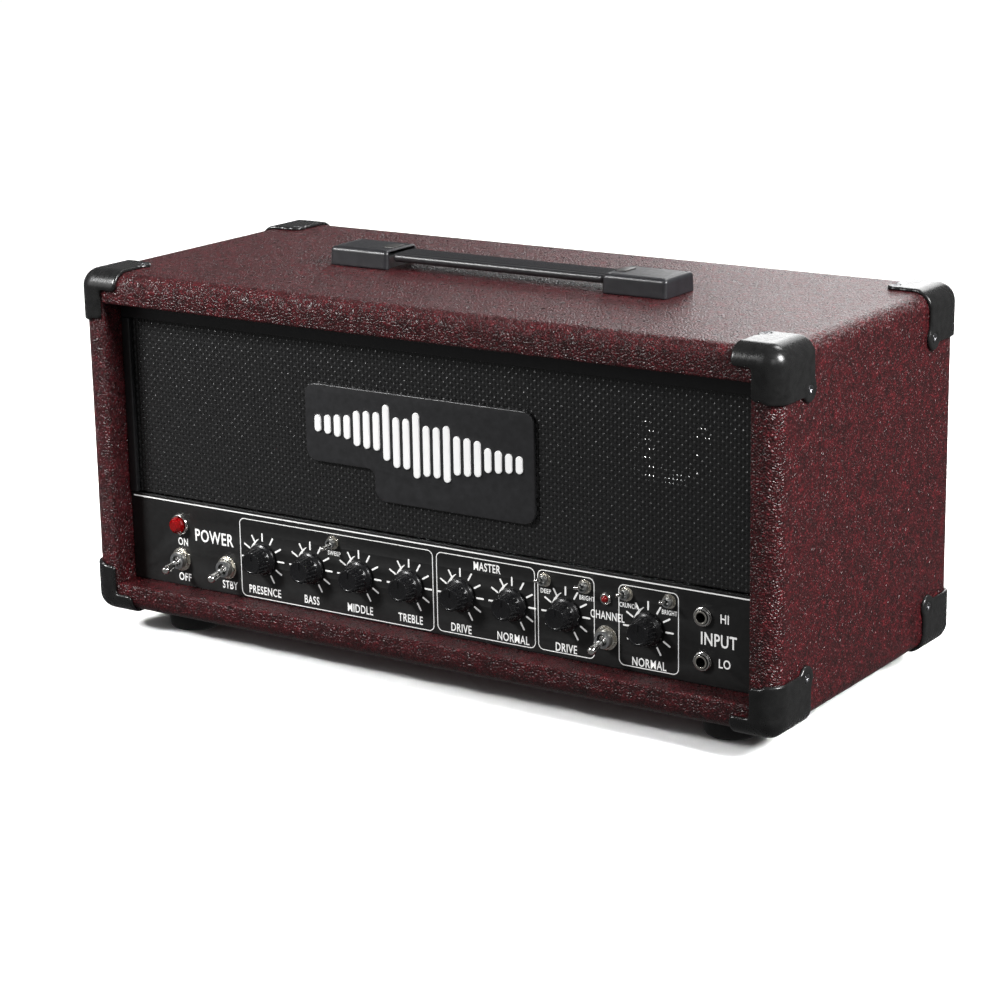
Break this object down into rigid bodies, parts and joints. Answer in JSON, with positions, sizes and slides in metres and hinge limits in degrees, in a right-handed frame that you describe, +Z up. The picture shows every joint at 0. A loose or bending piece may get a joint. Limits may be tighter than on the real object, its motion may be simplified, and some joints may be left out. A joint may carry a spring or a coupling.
{
  "type": "guitar amplifier head",
  "caption": "Valve guitar amplifier head: vinyl-covered cabinet with moulded corners, strap handle, woven grille and recessed control panel.",
  "frame": {"origin": "on the floor under the middle of the cabinet", "axes": "+Z up, +X to the right seen from the front along the width, +Y to the back; the control panel faces -Y"},
  "size_m": [0.575, 0.261, 0.2847],
  "materials": {
    "plywood": "birch plywood, raw inside",
    "pine": "raw pine",
    "vinyl": "oxblood leather-grain vinyl, embossed, semi-matt",
    "black_plastic": "moulded black plastic, fine texture",
    "knob_plastic": "black phenolic, satin to gloss",
    "rubber": "black rubber",
    "screw_steel": "zinc plated steel",
    "dark_steel": "black painted steel",
    "chassis_steel": "bare zinc plated steel",
    "chrome": "bright chrome plate",
    "cloth": "black woven grille cloth",
    "panel_paint": "satin black painted aluminium",
    "badge_grey": "grey painted metal",
    "badge_white": "white enamel",
    "jewel_red": "red faceted lens",
    "led_red": "diffused red lens",
    "core_steel": "black lacquered lamination stack",
    "tube_glass": "clear glass",
    "ceramic": "glazed ceramic look",
    "cap_sleeve": "shrink sleeve",
    "board_green": "glass-fibre board"
  },
  "bodies": {
    "cabinet": {"top_board": "plywood", "bottom_board": "plywood", "left_side_board": "plywood", "right_side_board": "plywood", "vinyl_covering": "vinyl", "battens": "pine", "front_corners": "black_plastic", "rear_corners": "black_plastic", "corner_screws": "screw_steel", "rubber_feet": "rubber", "base_fasteners": "screw_steel", "handle_caps": "black_plastic", "handle_anchors": "screw_steel", "handle_bolts": "screw_steel", "baffle_board": "plywood", "grille_frame": "black_plastic", "grille_cloth": "cloth", "badge_plate": "badge_grey", "badge_emblem": "badge_white", "front_panel": "panel_paint", "chassis": "chassis_steel", "rear_plate": "panel_paint", "pot_bodies": "screw_steel", "panel_nuts": "chrome", "toggle_bodies": "chrome", "mini_toggle_bodies": "chrome", "jack_bodies": "black_plastic", "jack_nuts": "chrome", "lamp_bezels": "chrome", "pilot_jewel": "jewel_red", "channel_led": "led_red", "power_transformer": "core_steel", "output_transformer": "core_steel", "power_tubes": "tube_glass", "preamp_tubes": "tube_glass", "tube_sockets": "ceramic", "filter_capacitors": "cap_sleeve", "circuit_board": "board_green", "back_panel": "dark_steel", "vent_grille": "dark_steel", "back_panel_screws": "screw_steel", "iec_inlet": "black_plastic", "fuse_holder": "black_plastic"},
    "knob_presence": {"knob_presence": "knob_plastic"},
    "knob_bass": {"knob_bass": "knob_plastic"},
    "knob_medium": {"knob_medium": "knob_plastic"},
    "knob_treble": {"knob_treble": "knob_plastic"},
    "knob_master_drive": {"knob_master_drive": "knob_plastic"},
    "knob_master_normal": {"knob_master_normal": "knob_plastic"},
    "knob_gain_drive": {"knob_gain_drive": "knob_plastic"},
    "knob_gain_normal": {"knob_gain_normal": "knob_plastic"},
    "power_lever": {"power_lever": "chrome"},
    "standby_lever": {"standby_lever": "chrome"},
    "channel_lever": {"channel_lever": "chrome"},
    "sweep_lever": {"sweep_lever": "chrome"},
    "deep_lever": {"deep_lever": "chrome"},
    "drive_bright_lever": {"drive_bright_lever": "chrome"},
    "crunch_lever": {"crunch_lever": "chrome"},
    "normal_bright_lever": {"normal_bright_lever": "chrome"},
    "handle_strap": {"handle_strap": "rubber"}
  },
  "joints": [
    {"name": "presence_turn", "type": "hinge", "parent": "cabinet", "child": "knob_presence", "pos_m": [-0.1425, -0.108, 0.0696], "axis": [0, 1, 0], "range_deg": [-150, 150]},
    {"name": "bass_turn", "type": "hinge", "parent": "cabinet", "child": "knob_bass", "pos_m": [-0.0993, -0.108, 0.0696], "axis": [0, 1, 0], "range_deg": [-150, 150]},
    {"name": "medium_turn", "type": "hinge", "parent": "cabinet", "child": "knob_medium", "pos_m": [-0.0565, -0.108, 0.0696], "axis": [0, 1, 0], "range_deg": [-150, 150]},
    {"name": "treble_turn", "type": "hinge", "parent": "cabinet", "child": "knob_treble", "pos_m": [-0.0133, -0.108, 0.0696], "axis": [0, 1, 0], "range_deg": [-150, 150]},
    {"name": "master_drive_turn", "type": "hinge", "parent": "cabinet", "child": "knob_master_drive", "pos_m": [0.0298, -0.108, 0.0696], "axis": [0, 1, 0], "range_deg": [-150, 150]},
    {"name": "master_normal_turn", "type": "hinge", "parent": "cabinet", "child": "knob_master_normal", "pos_m": [0.0723, -0.108, 0.0696], "axis": [0, 1, 0], "range_deg": [-150, 150]},
    {"name": "gain_drive_turn", "type": "hinge", "parent": "cabinet", "child": "knob_gain_drive", "pos_m": [0.1152, -0.108, 0.0696], "axis": [0, 1, 0], "range_deg": [-150, 150]},
    {"name": "gain_normal_turn", "type": "hinge", "parent": "cabinet", "child": "knob_gain_normal", "pos_m": [0.1793, -0.108, 0.0696], "axis": [0, 1, 0], "range_deg": [-150, 150]},
    {"name": "power_flip", "type": "hinge", "parent": "cabinet", "child": "power_lever", "pos_m": [-0.2188, -0.1105, 0.0584], "axis": [-1, 0, 0], "range_deg": [0, 27]},
    {"name": "standby_flip", "type": "hinge", "parent": "cabinet", "child": "standby_lever", "pos_m": [-0.1758, -0.1105, 0.0584], "axis": [-1, 0, 0], "range_deg": [0, 27]},
    {"name": "channel_flip", "type": "hinge", "parent": "cabinet", "child": "channel_lever", "pos_m": [0.1472, -0.1105, 0.0584], "axis": [-1, 0, 0], "range_deg": [0, 27]},
    {"name": "sweep_flip", "type": "hinge", "parent": "cabinet", "child": "sweep_lever", "pos_m": [-0.0788, -0.1098, 0.0913], "axis": [-1, 0, 0], "range_deg": [0, 24]},
    {"name": "deep_flip", "type": "hinge", "parent": "cabinet", "child": "deep_lever", "pos_m": [0.0989, -0.1098, 0.0913], "axis": [1, 0, 0], "range_deg": [0, 24]},
    {"name": "drive_bright_flip", "type": "hinge", "parent": "cabinet", "child": "drive_bright_lever", "pos_m": [0.1308, -0.1098, 0.0913], "axis": [1, 0, 0], "range_deg": [0, 24]},
    {"name": "crunch_flip", "type": "hinge", "parent": "cabinet", "child": "crunch_lever", "pos_m": [0.1629, -0.1098, 0.0913], "axis": [1, 0, 0], "range_deg": [0, 24]},
    {"name": "normal_bright_flip", "type": "hinge", "parent": "cabinet", "child": "normal_bright_lever", "pos_m": [0.1955, -0.1098, 0.0913], "axis": [1, 0, 0], "range_deg": [0, 24]},
    {"name": "strap_lift", "type": "slide", "parent": "cabinet", "child": "handle_strap", "axis": [0, 0, 1], "range_m": [0, 0.016]}
  ]
}
